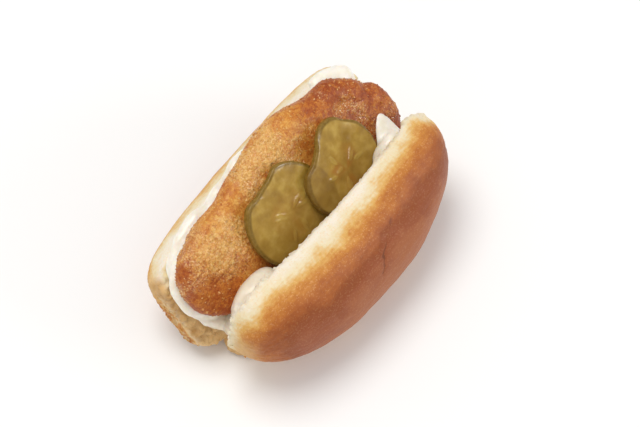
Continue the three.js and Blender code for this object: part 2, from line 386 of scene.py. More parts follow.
# %% A grid as a closed mesh
def closed_faces(grid):
    """Vertices and faces of a grid whose first and last rows are poles: quads between rings
    and a fan round each pole. Their volume's sign tells whether to turn them outwards."""
    rings, sectors = grid.shape[0] - 1, grid.shape[1]
    points = np.vstack([grid[0, :1], grid[1:-1].reshape(-1, 3), grid[-1, :1]])
    ring = 1 + np.arange(rings - 2)[:, None] * sectors
    here = np.arange(sectors)[None, :]
    after = (here + 1) % sectors
    below = ring + sectors
    quads = np.stack([ring + here, below + here, below + after, ring + after], -1)
    last_ring, last = 1 + (rings - 2) * sectors, len(points) - 1
    low_fan = np.stack([0 * here[0], 1 + here[0], 1 + after[0]], -1)
    high_fan = np.stack([0 * here[0] + last, last_ring + after[0], last_ring + here[0]], -1)
    a, b, c = (points[quads.reshape(-1, 4)[:, corner]] for corner in (0, 1, 2))
    turned = np.einsum("ij,ij->", a - points.mean(0), np.cross(b - a, c - a)) < 0
    faces = quads.reshape(-1, 4).tolist() + low_fan.tolist() + high_fan.tolist()
    return points, [face[::-1] for face in faces] if turned else faces


def new_piece(name, grids):
    """One object at the origin that holds one or more closed surfaces, in metres."""
    points, faces = [], []
    for grid in grids:
        more, more_faces = closed_faces(grid)
        start = sum(len(block) for block in points)
        faces += [[start + corner for corner in face] for face in more_faces]
        points.append(more)
    mesh = bpy.data.meshes.new(name)
    mesh.from_pydata((np.vstack(points) * MM).tolist(), [], faces)
    piece = bpy.data.objects.new(name, mesh)
    bpy.context.scene.collection.objects.link(piece)
    return piece


print("faces of a leaf:", len(closed_faces(leaf_surface(base_leaf))[1]))


# %% Changes to a whole piece
def settle(piece):
    """Applies a piece's modifiers, so that its mesh is the final one."""
    shown = piece.evaluated_get(bpy.context.evaluated_depsgraph_get())
    final = bpy.data.meshes.new_from_object(shown)
    piece.modifiers.clear()
    piece.data = final
    piece.data.shade_smooth()


def fuse(piece, voxel):
    """One even skin round overlapping closed surfaces, with faces about a voxel wide."""
    remesh = piece.modifiers.new("skin", "REMESH")
    remesh.mode, remesh.voxel_size = "VOXEL", voxel * MM
    settle(piece)


def cut_away(piece, grids):
    """Takes the space of closed surfaces out of a piece."""
    cutter = new_piece("cutter", grids)
    cut = piece.modifiers.new("cut", "BOOLEAN")
    cut.operation, cut.solver, cut.object = "DIFFERENCE", "MANIFOLD", cutter
    settle(piece)
    bpy.data.objects.remove(cutter)


# %% Vertices as arrays
def points_of(piece):
    """The places of all vertices, in millimetres."""
    values = np.empty(len(piece.data.vertices) * 3, np.float32)
    piece.data.vertices.foreach_get("co", values)
    return values.reshape(-1, 3).astype(float) / MM


def normals_of(piece):
    """The outward direction at each vertex."""
    values = np.empty(len(piece.data.vertices) * 3, np.float32)
    piece.data.vertices.foreach_get("normal", values)
    return values.reshape(-1, 3).astype(float)


def move_points(piece, points):
    """Puts all vertices at places in millimetres."""
    piece.data.vertices.foreach_set("co", (points * MM).astype(np.float32).ravel())
    piece.data.update()


def paint(piece, name, values):
    """Keeps one number for each vertex, which the material reads by name."""
    layer = piece.data.attributes.new(name, "FLOAT", "POINT")
    layer.data.foreach_set("value", np.asarray(values, np.float32))


def report(piece):
    """Prints how many triangles a piece has."""
    triangles = sum(len(face.vertices) - 2 for face in piece.data.polygons)
    print(f"{piece.name}: {triangles} triangles")


# %% [markdown]
# ## Unevenness
# Food has no straight lines. Two kinds of noise make all the relief: a cloud of soft lumps,
# and cells, whose middles give pores, crumbs and flakes. A displace modifier could read a
# noise too, but here one mark has to steer both the relief and the colour of the same spot.
# So both are worked out for all the points together, from random numbers that belong to the
# cells of a lattice.


# %% Noise
def lattice(cell, seed):
    """A random number from 0 to 1 for each whole-numbered cell: its indices are multiplied
    by large primes, mixed bit by bit and scaled."""
    cell = cell.astype(np.int64)
    mixed = cell[..., 0] * 73856093 ^ cell[..., 1] * 19349663 ^ cell[..., 2] * 83492791
    mixed = mixed ^ seed * 265443576
    mixed = (mixed ^ (mixed >> 13)) * 1274126177 & 0xFFFFFFFF
    mixed = (mixed ^ (mixed >> 15)) * 2246822519 & 0xFFFFFFFF
    return (mixed ^ (mixed >> 16) & 0xFFFF) % 65536 / 65535


def cloud(points, size, seed, octaves=1):
    """Soft noise from about -1 to 1 with lumps of one size: random values at the corners of
    a lattice, eased by 3t^2 - 2t^3 between them. Each octave has half the size and height."""
    total, height = np.zeros(len(points)), 1.0
    for octave in range(octaves):
        where = points / (np.asarray(size) / 2 ** octave)
        cell = np.floor(where)
        t = where - cell
        t = t * t * (3 - 2 * t)
        value = np.zeros(len(points))
        for corner in np.ndindex(2, 2, 2):
            weight = np.prod(np.where(corner, t, 1 - t), axis=1)
            value += weight * lattice(cell + corner, seed + 17 * octave)
        total += height * (2 * value - 1)
        height /= 2
    return total


def cells(points, size, seed):
    """The distance to the nearest of points thrown one to a cell, as a share of the cell's
    size, and a random number that belongs to that one."""
    where = points / np.asarray(size)
    cell = np.floor(where)
    near, label = np.full(len(points), 9.0), np.zeros(len(points))
    for offset in np.ndindex(3, 3, 3):
        home = cell + offset - 1
        thrown = np.stack([lattice(home, seed + axis) for axis in range(3)], -1)
        distance = np.linalg.norm(home + thrown - where, axis=1)
        label = np.where(distance < near, lattice(home, seed + 3), label)
        near = np.minimum(near, distance)
    return near, label


print("a cloud at three places:", cloud(np.eye(3) * 5, 3, 1).round(2))


# %% [markdown]
# ## The roll
# A soft finger roll: its crust is thin, golden to reddish brown where the oven's heat met
# it and pale along the side where it was sliced. The cut faces are close, cream crumb. The
# marks could be painted by hand, but where each point lies on its leaf already tells them,
# so they are worked out from that, and relief and colour share them.

# %% Skin of the roll
roll = new_piece("soft_roll", [
    leaf_surface(base_leaf), leaf_surface(crown_leaf), lump_at(hinge, 2.5, 0, 90, 120),
])
fuse(roll, 0.56)
report(roll)


# %% Which part of the roll a point belongs to
def leaf_level(leaf, points):
    """1 on a leaf's surface and more outside it: |across|^power + |behind|^power."""
    x, up, out = leaf_place(leaf, points)
    end = np.clip(x / (leaf["length"] / 2), -0.999, 0.999)
    lift = leaf["rise"] * end ** 2
    level = (up - 0.5 * lift) / (1 + leaf["taper"] * end + 0.5 * lift / leaf["width"])
    half = leaf["width"] / 2
    across = (level - half) / half
    spread = leaf_spread(leaf, end, across)
    behind = out - leaf["waist"] - leaf["bow"] * (1 - end ** 2)
    is_crust = behind > 0
    power = np.where(is_crust, leaf["dome"], cut_power)
    crust_depth = (leaf["depth"] - leaf["waist"]) * rounded(end, leaf["blunt"])
    reach = np.where(is_crust, crust_depth, leaf["waist"])
    return np.abs(across / spread) ** power + np.abs(behind / reach) ** power


base_middle = on_leaf(base_leaf, 0, base_leaf["width"] / 2, base_leaf["waist"])
print("level in the middle of the base:", leaf_level(base_leaf, base_middle[None]).round(2))


# %% How the oven marked the crust
def bake_depth(points, on_crown):
    """How browned a point is, as a depth in millimetres past the pale band by the cut."""
    x, crown_up, crown_out = leaf_place(crown_leaf, points)
    _, _, base_out = leaf_place(base_leaf, points)
    # The band is broad at the middle of the crown and narrow at its ends.
    along = (x + 8) / np.where(x < -8, 52, 64)
    at_ends = 5.5 * smooth(36, 46, x) + 3.0 * smooth(34, 45, -x)
    pale_band = np.maximum(at_ends, 13.3 * (1 - along ** 2))
    base_bake = base_out - 11.8 + 1.5 * smooth(38, 53, np.abs(x))
    bake = on_crown * (crown_out - pale_band) + (1 - on_crown) * base_bake
    # Its edge wavers, with streaks along the roll, and the brown behind it has broad clouds.
    bake += 0.8 + 1.2 * cloud(points, 8, 1, 3) + 0.7 * cloud(points, (14, 2.5, 2.5), 2, 2)
    bake += 2.0 * cloud(points, 24, 17, 2) * smooth(2, 8, bake)
    # Less heat reached it low down, at the crown's upper +X corner and at its -X end.
    bake -= smooth(15, 3, points[:, 2]) * (2.5 + 2 * on_crown)
    corner = 2.3 * smooth(24, 46, x) * smooth(24, 40, crown_up)
    bake -= (corner + 2.5 * smooth(34, 46, -x)) * on_crown
    return bake


crown_back = on_leaf(crown_leaf, 0, crown_leaf["width"] / 2, crown_leaf["depth"])
print("bake at the back of the crown, mm:", bake_depth(crown_back[None], 1).round(1))


# %% The tan end, the crack and the flakes
def end_skin(points, on_crown):
    """From 0 to 1, the tan skin at the -X end: the base's end beyond a slanting line, and
    a touch of it low on the crown."""
    _, base_up, _ = leaf_place(base_leaf, points)
    x, crown_up, crown_out = leaf_place(crown_leaf, points)
    past_line = -x - 41.5 - 0.25 * base_up + cloud(points, 3, 12)
    skin = smooth(-3, 2.5, past_line) * smooth(41, 34, base_up)
    tip = smooth(46, 51, -x) * smooth(36, 30, crown_up) * smooth(14, 8, crown_out)
    return skin * (1 - on_crown) + 0.6 * on_crown * tip * smooth(2, 5, crown_out)


def crack_depth(points):
    """The crown's one crack, as a bell across a line: the line runs down the dome, bends
    towards +X near the rim as a power of 4.5, and has two sine waves."""
    x, up, out = leaf_place(crown_leaf, points)
    share = np.clip((up - 20) / 20.6, 0, 1.05)
    line = x + 3 - 14.5 * share ** 4.5 + 0.4 * np.sin(1.1 * up) + 0.3 * np.sin(2.7 * up)
    crack = bell(line / np.hypot(1, 3.2 * share ** 3.5), 0.6) * smooth(22, 30, up)
    crack *= smooth(16.5, 18.5, out) * (0.7 + 0.5 * cloud(points, 3, 15))
    return crack


def torn_flakes(points, on_crown):
    """Flakes of crust on the base's torn -X end, from 0 to 1, and each flake's number."""
    x, up, out = leaf_place(base_leaf, points)
    _, label = cells(points, (2.4, 1.5, 1.5), 13)
    flake = smooth(49.5, 52, -x) * smooth(31, 25, up) * smooth(4, 8, up) * smooth(0.5, 3.5, out)
    flake *= smooth(0.2, 0.4, label) * (1 - on_crown)
    return flake, label


print("strongest place of the crack:", round(float(crack_depth(points_of(roll)).max()), 2))


# %% All marks of the bread
def bread_marks(points):
    """What the bread is like at each point: bake, in millimetres; from 0 to 1 the crumb, the
    tan skin, the crack, the flakes and far, for the base; and cut_face, the depth in
    millimetres behind its leaf's cut face."""
    base_level, crown_level = leaf_level(base_leaf, points), leaf_level(crown_leaf, points)
    on_crown = smooth(-0.5, 0.5, base_level - crown_level)
    base_out, crown_out = (leaf_place(leaf, points)[2] for leaf in (base_leaf, crown_leaf))
    cut_face = np.where(on_crown > 0.5, crown_out, base_out)
    # The fold under the roll is crust all over, lightly baked.
    fold = smooth(8.5, 6.5, points[:, 2])
    bake = bake_depth(points, on_crown)
    bake = bake * (1 - fold) + fold * (1.5 + 2 * cloud(points, 7, 16, 2))
    crumb = 1 - smooth(0.4, 1.8, cut_face + 0.5 * cloud(points, 2.5, 3, 2))
    crumb *= 1 - fold
    tan = end_skin(points, on_crown)
    flake, label = torn_flakes(points, on_crown)
    bake = bake * (1 - flake) + flake * (5 * label - 2)
    crumb, tan = crumb * (1 - tan) * (1 - flake), tan * (1 - flake)
    return dict(
        bake=bake, crumb=crumb, tan=tan, crack=crack_depth(points) * on_crown, flake=flake,
        far=1 - on_crown, cut_face=cut_face,
    )


points, outward = points_of(roll), normals_of(roll)
marks = bread_marks(points)
print("share of crumb in the skin:", round(float(marks["crumb"].mean()), 2))

# %% [markdown]
# ## Relief of the bread
# A baked crust has shallow dents, and wrinkles where it dried and shrank. A cut crumb has
# pores, and its edge is torn into a ragged lip. Bump alone would leave a smooth outline, so
# every vertex moves out or in by a sum of these heights, in millimetres.

# %% Relief of the crust
crumb, on_crown = marks["crumb"], 1 - marks["far"]
crust = smooth(-8, 2, marks["bake"]) * (1 - crumb)
dents = 0.4 * cloud(points, 17, 4, 3)
skin = 0.07 * cloud(points, (5, 1.6, 1.6), 5, 2)
# A wrinkle follows the line where a cloud crosses zero, drawn at swayed places.
swayed = points + 2 * cloud(points, 6, 6)[:, None]
wrinkle_lines = 1 - np.abs(cloud(swayed, (3.2, 6, 2.2), 7, 2))
ends = smooth(36, 50, np.abs(points[:, 0]))
low_crust = smooth(30, 8, points[:, 2])
wrinkles = -(0.22 * ends + 0.14 * low_crust) * (1 - crumb) * smooth(0.72, 1, wrinkle_lines)
# The crown's upper +X corner swells and then dips.
corner_features = [
    dict(x=42.5, up=43, out=1.2, reach=4.0, height=1.6),
    dict(x=48.5, up=41, out=3.5, reach=4.0, height=-1.9),
]
_, crown_up, crown_out = leaf_place(crown_leaf, points)
swellings = sum(row["height"] * bell(np.hypot(
    np.hypot(points[:, 0] - row["x"], crown_up - row["up"]), crown_out - row["out"],
), row["reach"]) for row in corner_features)
print("deepest wrinkle, mm:", round(float(wrinkles.min()), 2))

# %% Relief of the crumb
near, label = cells(points, 2.1, 8)
pores = -0.45 * smooth(0.45, 0.1, near) * smooth(0.35, 0.6, label) * smooth(44, 34, -points[:, 0])
near, _ = cells(points, 1.1, 9)
grain = 0.22 * cloud(points, 1.5, 10, 2) - 0.15 * smooth(0.4, 0.1, near)
torn = 0.6 + 0.9 * on_crown + (1.0 - on_crown) * smooth(40, 48, -points[:, 0])
rag = torn * bell(marks["cut_face"] - 0.8, 1.6) * np.abs(cloud(points, 1.9, 11, 2))
scales = marks["flake"] * (0.35 + 0.3 * cloud(points, 1.6, 14))
relief = (
    swellings + dents + skin * crust + wrinkles + crumb * (pores + grain) + rag + scales
    - 0.35 * marks["crack"]
)
points += outward * relief[:, None]
points[:, 2] = np.maximum(points[:, 2], 0)
move_points(roll, points)
cut_away(roll, [slice_surface(which, seam_gap, 40, 120) for which in (lower_slice, upper_slice)])
report(roll)

# %% [markdown]
# ## Materials
# A material is a small graph of shader nodes. It could be wired by hand in the editor; here
# one helper adds any node, sets it and links it, so that the graph can be read as text.
# Colours are given as on a screen and turned to the linear numbers that light uses.


# %% Helpers for materials
def linear(colour):
    """An sRGB hex colour as linear numbers: ((c + 0.055) / 1.055)^2.4 above the dark end."""
    channels = np.array([int(colour[start:start + 2], 16) for start in (1, 3, 5)]) / 255
    light = np.where(channels <= 0.04045, channels / 12.92, ((channels + 0.055) / 1.055) ** 2.4)
    return (*light.tolist(), 1.0)


def add_node(tree, kind, inputs=None, stops=None, **settings):
    """Adds a node, sets its properties, and gives each named or numbered input a value or a
    link. Stops are the places and colours of a colour ramp."""
    made = tree.nodes.new("ShaderNode" + kind)
    for name, value in settings.items():
        setattr(made, name, value)
    if stops:
        band = made.color_ramp.elements
        while len(band) < len(stops):
            band.new(0.5)
        for element, (place, colour) in zip(band, stops):
            element.position, element.color = place, linear(colour)
    for socket, value in (inputs or {}).items():
        if isinstance(value, bpy.types.NodeSocket):
            tree.links.new(value, made.inputs[socket])
        else:
            made.inputs[socket].default_value = value
    return made


def new_material(name):
    """An empty material and its node tree."""
    material = bpy.data.materials.new(name)
    material.use_nodes = True
    tree = material.node_tree
    tree.nodes.clear()
    return material, tree


def finish_material(material, shader):
    """Links the shader to the material's output."""
    tree = material.node_tree
    add_node(tree, "OutputMaterial", {"Surface": shader.outputs["BSDF"]})
    print(f"{material.name}: {len(tree.nodes)} nodes")


print("middle grey is linear", round(linear("#808080")[0], 3))


# %% [markdown]
# ## Finish of the bread
# Crust browns from cream through gold to a reddish brown within a few millimetres. One flat
# brown would look like clay, so a ramp runs over the bake, and noise of several sizes breaks
# it up. The crust is a dried skin with a soft, weak sheen, and the crumb is matte and lets
# some light in.

# %% Marks and patterns on the bread
bread, tree = new_material("oven_baked_roll")
place = add_node(tree, "TexCoord").outputs["Object"]
bread_attributes = ("bake", "crumb", "tan", "crack", "far")
bake_mark, crumb_mark, tan_mark, crack_mark, far_mark = (
    add_node(tree, "Attribute", attribute_name=name).outputs["Fac"] for name in bread_attributes
)
# Clouds of browning of 6 mm, freckles of 1.1 mm and pale specks of 0.55 mm, drawn about twice
# as coarse as real ones, which would not show. The pale specks are painted glints on blisters.
mottle, freckle, blister = (
    add_node(tree, "TexNoise", {
        "Vector": place, "Scale": 1 / (size * MM), "Detail": detail,
    }).outputs["Fac"]
    for size, detail in ((6, 4.0), (1.1, 3.0), (0.55, 1.0))
)
# Creases of 0.9 mm that are drawn out to six times that along the roll.
drawn = add_node(tree, "Mapping", {"Vector": place, "Scale": (1 / 6, 1.0, 1.0)}).outputs["Vector"]
crease = add_node(
    tree, "TexNoise", {"Vector": drawn, "Scale": 1 / (0.9 * MM), "Detail": 3.0},
).outputs["Fac"]
print("nodes so far:", len(tree.nodes))

# %% Browning of the crust
uneven = add_node(
    tree, "Math", {0: mottle, 1: 5.0, 2: -2.5}, operation="MULTIPLY_ADD",
).outputs[0]
speckled = add_node(
    tree, "Math", {0: freckle, 1: 3.6, 2: -3.3}, operation="MULTIPLY_ADD",
).outputs[0]
streaked = add_node(
    tree, "Math", {0: crease, 1: 3.0, 2: speckled}, operation="MULTIPLY_ADD",
).outputs[0]
depth = add_node(tree, "Math", {0: bake_mark, 1: uneven}, operation="ADD").outputs[0]
depth = add_node(tree, "Math", {0: depth, 1: streaked}, operation="ADD").outputs[0]
browning = add_node(
    tree, "MapRange", {"Value": depth, "From Min": -8.0, "From Max": 14.0},
).outputs["Result"]
# The ramp darkens up to 0.74 and lightens after it: the last two stops are a painted sheen on the
# crust that lies farthest behind the cut, at the crown's outer edge.
crust_colour = add_node(tree, "ValToRGB", {"Fac": browning}, stops=[
    (0.036, "#ece2d0"), (0.2, "#e4d3ab"), (0.32, "#d8aa60"), (0.42, "#c5833c"),
    (0.52, "#b36c30"), (0.62, "#a25a2a"), (0.74, "#8c4820"), (0.86, "#934f2e"), (1.0, "#a2603a"),
]).outputs["Color"]
# Painted glints: the blisters are paler, most of all where the crust is only golden.
blistered = add_node(tree, "MapRange", {
    "Value": blister, "From Min": 0.56, "From Max": 0.70, "To Max": 1.0,
}).outputs["Result"]
faded = add_node(tree, "MapRange", {
    "Value": browning, "From Min": 0.33, "From Max": 0.65, "To Min": 0.42, "To Max": 0.1,
}).outputs["Result"]
blistered = add_node(tree, "Math", {0: blistered, 1: faded}, operation="MULTIPLY").outputs[0]
crust_colour = add_node(
    tree, "Mix", {0: blistered, 6: crust_colour, 7: linear("#ecc48c")}, data_type="RGBA",
).outputs[2]
print("nodes so far:", len(tree.nodes))

# %% Crumb, end skin and crack
crumb_colour = add_node(tree, "ValToRGB", {"Fac": mottle}, stops=[
    (0.3, "#e2d5b8"), (0.6, "#ebe1ca"),
]).outputs["Color"]
toasted = add_node(tree, "Math", {0: far_mark, 1: 0.85}, operation="MULTIPLY").outputs[0]
crumb_colour = add_node(
    tree, "Mix", {0: toasted, 6: crumb_colour, 7: linear("#ddc796")}, data_type="RGBA",
).outputs[2]
tan_colour = add_node(tree, "ValToRGB", {"Fac": mottle}, stops=[
    (0.3, "#bb8f56"), (0.65, "#dfb981"),
]).outputs["Color"]
# Thin dark folds in the end skin: the lines where a noise of 2.6 mm passes one half.
fold = add_node(tree, "TexNoise", {
    "Vector": place, "Scale": 1 / (2.6 * MM), "Detail": 3.0, "Distortion": 0.8,
}).outputs["Fac"]
folded = add_node(tree, "Math", {0: fold, 1: 0.5, 2: 0.012}, operation="COMPARE").outputs[0]
folded = add_node(tree, "Math", {0: folded, 1: 0.3}, operation="MULTIPLY").outputs[0]
tan_colour = add_node(
    tree, "Mix", {0: folded, 6: tan_colour, 7: linear("#8a6338")}, data_type="RGBA",
).outputs[2]
opened = add_node(
    tree, "MapRange", {"Value": crack_mark, "From Min": 0.42, "From Max": 0.68},
).outputs["Result"]
bread_colour = crust_colour
crack_colour = linear("#784226")
for mark, colour in (
    (tan_mark, tan_colour), (crumb_mark, crumb_colour), (opened, crack_colour),
):
    bread_colour = add_node(
        tree, "Mix", {0: mark, 6: bread_colour, 7: colour}, data_type="RGBA",
    ).outputs[2]
print("nodes so far:", len(tree.nodes))

# %% Surface of the bread
fine = add_node(tree, "TexNoise", {
    "Vector": place, "Scale": 1 / (0.7 * MM), "Detail": 4.0, "Roughness": 0.65,
}).outputs["Fac"]
fine_bump = add_node(tree, "Bump", {"Height": fine, "Distance": 0.10 * MM, "Strength": 0.6})
crease_bump = add_node(tree, "Bump", {
    "Height": crease, "Distance": 0.16 * MM, "Strength": 0.7, "Normal": fine_bump.outputs["Normal"],
})
roughness = add_node(
    tree, "MapRange", {"Value": crumb_mark, "To Min": 0.47, "To Max": 0.85},
).outputs["Result"]
# Dry starch reflects as most plastics do, but its pores swallow half of that.
shader = add_node(tree, "BsdfPrincipled", {
    "Base Color": bread_colour, "Roughness": roughness, "Normal": crease_bump.outputs["Normal"],
    "Subsurface Weight": 0.15, "Subsurface Radius": (1.0, 0.6, 0.3), "Subsurface Scale": 1.5 * MM,
    "Specular IOR Level": 0.22,
})
finish_material(bread, shader)


# %% Dress the roll
def dress(piece, node_name, material):
    """Gives a piece its material, and lets it stand for a node of the plain model, if any."""
    piece.data.materials.clear()
    piece.data.materials.append(material)
    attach(piece, "root")
    if node_name:
        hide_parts(node_name)
    report(piece)


marks = bread_marks(points_of(roll))
for name in bread_attributes:
    paint(roll, name, marks[name])
dress(roll, "roll", bread)

# %% [markdown]
# ## The fried fillet
# The fillet is coated in fine breadcrumbs and fried: golden in the middle, darker and redder
# at both ends where the coat is thin over the fish's edge. A bump map could stand for its
# grain, but would leave a smooth outline, so the grain is real relief of up to a millimetre.

# %% Skin of the fillet
fillet = new_piece("fried_fillet", [fillet_surface(fish)])
fuse(fillet, 0.37)
points, outward = points_of(fillet), normals_of(fillet)
x, up, _ = leaf_place(base_leaf, points)
report(fillet)

# %% Lumps of the fillet
# Swellings and dips: each a place on the face, a reach and a height in millimetres.
fillet_features = [
    dict(x=42, up=41, reach=4.0, height=1.2),
    dict(x=46, up=34, reach=2.6, height=-1.5),
    dict(x=51, up=24, reach=5.0, height=0.9),
    dict(x=26, up=36, reach=4.0, height=1.0),
    dict(x=33, up=37, reach=3.0, height=-1.2),
    dict(x=20, up=44, reach=3.5, height=-0.7),
    dict(x=-25, up=46, reach=6.0, height=-0.9),
]
swellings = sum(
    row["height"] * bell(x - row["x"], row["reach"]) * bell(up - row["up"], row["reach"])
    for row in fillet_features
)
ends = smooth(24, 42, x) + smooth(30, 44, -x)
lumps = (0.35 + 0.5 * ends) * cloud(points, 7, 21, 2)
print("highest lump, mm:", round(float((swellings + lumps).max()), 1))


# %% Where the coat is crumbly
def crumb_patches(points):
    """From 0 to 1, where the coat is crumbly and glistens: a soft noise, and patches that
    each have a place on the face and a reach in millimetres."""
    x, up, _ = leaf_place(base_leaf, points)
    patches = [
        dict(x=-32, up=34, reach=9, height=1.3), dict(x=-42, up=31, reach=6, height=0.9),
        dict(x=-9, up=43, reach=6, height=1.2), dict(x=2, up=44, reach=7, height=0.7),
        dict(x=26, up=41, reach=8, height=-0.1), dict(x=-20, up=42, reach=5, height=-1.2),
        dict(x=-38, up=14, reach=8, height=-0.8), dict(x=39, up=30, reach=5, height=0.5),
        dict(x=-47, up=20, reach=7, height=-1.0),
    ]
    spots = sum(
        row["height"] * bell(np.hypot(x - row["x"], up - row["up"]), row["reach"])
        for row in patches
    )
    return smooth(-0.2, 1.0, 0.8 * cloud(points, 6, 28, 3) + spots)


rough_patches = crumb_patches(points)
print("crumbly share:", round(float(rough_patches.mean()), 2))

# %% Relief of the coat
near, label = cells(points + 0.4 * cloud(points, 1.3, 22)[:, None], 1.3, 23)
crumbs = (0.12 + 0.30 * rough_patches) * smooth(0.75, 0.1, near) * (0.4 + 0.9 * label)
near, _ = cells(points, 0.8, 24)
grit = (0.08 + 0.14 * rough_patches) * smooth(0.7, 0.1, near) + 0.06 * cloud(points, 0.8, 25)
relief = swellings + lumps + crumbs + grit - 0.12
points += outward * relief[:, None]
move_points(fillet, points)
print("highest crumb, mm:", round(float((crumbs + grit).max()), 2))


# %% How brown the coat is
def fry_mark(points, height):
    """From 0, golden, to 1, dark: rising towards both ends and the lower edge, with patches,
    and a little darker between the crumbs than on their tips."""
    x, up, out = leaf_place(base_leaf, points)
    fry = smooth(12, 36, x) * 0.42 + smooth(30, 50, -x) * 0.38
    fry += 0.28 * smooth(24, 8, up) + 0.45 * smooth(9, 2, -out) + 0.24
    fry += 0.13 * smooth(38, 26, up) * smooth(-8, -22, x) * smooth(46, 36, -x)
    fry += 0.13 * cloud(points, 9, 26, 2) + 0.12 * cloud(points, 2.4, 27, 2)
    return np.clip(fry - 0.10 * crumb_patches(points) - 0.6 * (height - 0.13), 0, 1)


fried_mark = fry_mark(points, crumbs + grit)
paint(fillet, "fry", fried_mark)
paint(fillet, "oil", rough_patches)
print("mean browning of the coat:", round(float(fried_mark.mean()), 2))

# %% [markdown]
# ## Finish of the fried coat
# Breadcrumbs fry from gold to a reddish brown, each to a tone of its own, and hold a film of
# oil. One noise would only cloud the coat, so cells of the size of a crumb get tones, and
# specks roughen them. Where it is crumbly, pale specks are painted glints, and a clear, uneven
# coat of oil over a duller ground gives the small real glints.

# %% Colour of the fried coat
fried, tree = new_material("fried_breadcrumb_coat")
place = add_node(tree, "TexCoord").outputs["Object"]
fry, oil = (
    add_node(tree, "Attribute", attribute_name=name).outputs["Fac"] for name in ("fry", "oil")
)
grain = add_node(tree, "TexVoronoi", {"Vector": place, "Scale": 1 / (0.9 * MM)})
grain_tone = add_node(tree, "SeparateColor", {"Color": grain.outputs["Color"]}).outputs["Red"]
# Specks of 0.5 mm and painted glints of 0.6 mm, about twice as coarse as fine crumbs really are.
speck, tip = (
    add_node(tree, "TexNoise", {
        "Vector": place, "Scale": 1 / (size * MM), "Detail": detail,
    }).outputs["Fac"]
    for size, detail in ((0.5, 2.0), (0.6, 1.0))
)
tone = add_node(
    tree, "Math", {0: grain_tone, 1: 0.24, 2: -0.4}, operation="MULTIPLY_ADD",
).outputs[0]
tone = add_node(tree, "Math", {0: speck, 1: 0.6, 2: tone}, operation="MULTIPLY_ADD").outputs[0]
tone = add_node(tree, "Math", {0: tone, 1: fry}, operation="ADD").outputs[0]
fried_colour = add_node(tree, "ValToRGB", {"Fac": tone}, stops=[
    (0.0, "#deaa58"), (0.2, "#d2923f"), (0.45, "#bd7129"), (0.7, "#a04e1a"), (1.0, "#86350e"),
]).outputs["Color"]
# Painted glints: pale specks are mixed in where the coat is crumbly.
tipped = add_node(
    tree, "MapRange", {"Value": tip, "From Min": 0.55, "From Max": 0.66},
).outputs["Result"]
share = add_node(tree, "Math", {0: oil, 1: 0.55, 2: 0.02}, operation="MULTIPLY_ADD").outputs[0]
tipped = add_node(tree, "Math", {0: tipped, 1: share}, operation="MULTIPLY").outputs[0]
fried_colour = add_node(
    tree, "Mix", {0: tipped, 6: fried_colour, 7: linear("#f3cf8f")}, data_type="RGBA",
).outputs[2]
print("nodes so far:", len(tree.nodes))

# %% Surface of the fried coat
coat_bump = add_node(tree, "Bump", {"Height": speck, "Distance": 0.12 * MM, "Strength": 0.6})
oil_bump = add_node(tree, "Bump", {"Height": speck, "Distance": 0.45 * MM, "Strength": 1.0})
shader = add_node(tree, "BsdfPrincipled", {
    "Base Color": fried_colour, "Roughness": 0.45, "Normal": coat_bump.outputs["Normal"],
    "Coat Weight": oil, "Coat Roughness": 0.12, "Coat Normal": oil_bump.outputs["Normal"],
    "Subsurface Weight": 0.1, "Subsurface Radius": (1.0, 0.5, 0.2), "Subsurface Scale": 1.0 * MM,
    "Specular IOR Level": 0.3,
})
finish_material(fried, shader)
dress(fillet, "fish_fillet", fried)

# %% [markdown]
# ## Loose crumbs
# Crumbs of up to a millimetre stand off the fillet and break its outline, and a few cling to
# the rim and the torn end of the roll. A particle system could throw them, but the export
# keeps meshes alone, so numpy picks their places by chance, more often where the food is
# crumbly, and makes one mesh of them. As there are thousands, each has only eight faces.

# %% A crumb and how it is scattered
random = np.random.default_rng(7)
corner_offsets = np.array([
    [1, 0, 0], [-1, 0, 0], [0, 1, 0], [0, -1, 0], [0, 0, 1], [0, 0, -1],
], float)
corner_faces = np.array([
    [4, 0, 2], [4, 2, 1], [4, 1, 3], [4, 3, 0], [5, 2, 0], [5, 1, 2], [5, 3, 1], [5, 0, 3],
])


def scattered(name, homes, directions, sizes, squash):
    """Angular crumbs as one mesh: an eight-sided stone round each home, jittered corner by
    corner, and flattened by a share along the surface's direction."""
    count = len(homes)
    shape = corner_offsets[None] + 0.45 * random.standard_normal((count, 6, 3))
    shape *= (sizes / 2)[:, None, None]
    lean = (shape * directions[:, None]).sum(-1, keepdims=True)
    shape = shape - squash * lean * directions[:, None] + homes[:, None]
    faces = corner_faces[None] + 6 * np.arange(count)[:, None, None]
    mesh = bpy.data.meshes.new(name)
    mesh.from_pydata((shape.reshape(-1, 3) * MM).tolist(), [], faces.reshape(-1, 3).tolist())
    piece = bpy.data.objects.new(name, mesh)
    bpy.context.scene.collection.objects.link(piece)
    return piece


print("faces of a crumb:", len(corner_faces))

# %% Crumbs on the fillet
crumb_count = 9000
points, outward = points_of(fillet), normals_of(fillet)
chance = 0.12 + crumb_patches(points)
picked = random.choice(len(points), crumb_count, replace=False, p=chance / chance.sum())
crumb_sizes = 0.35 + 0.7 * random.random(crumb_count) ** 3
loose = scattered("fried_crumbs", points[picked], outward[picked], crumb_sizes, 0.4)
paint(loose, "fry", np.repeat(fry_mark(points[picked], np.full(crumb_count, 0.4)), 6))
paint(loose, "oil", np.ones(6 * crumb_count))
dress(loose, None, fried)

# %% Crumbs torn from the roll
torn_count = 420
points, outward = points_of(roll), normals_of(roll)
marks = bread_marks(points)
rim = bell(marks["cut_face"] - 0.6, 1.3) * (1 - marks["far"]) * smooth(16, 22, points[:, 2])
chance = rim * (0.03 + smooth(40, 47, -points[:, 0])) + 0.8 * marks["flake"]
picked = random.choice(len(points), torn_count, replace=False, p=chance / chance.sum())
torn_sizes = 0.4 + 0.9 * random.random(torn_count) ** 2
torn = scattered("roll_crumbs", points[picked], outward[picked], torn_sizes, 0.5)
for name in bread_attributes:
    paint(torn, name, np.repeat(marks[name][picked], 6))
dress(torn, None, bread)
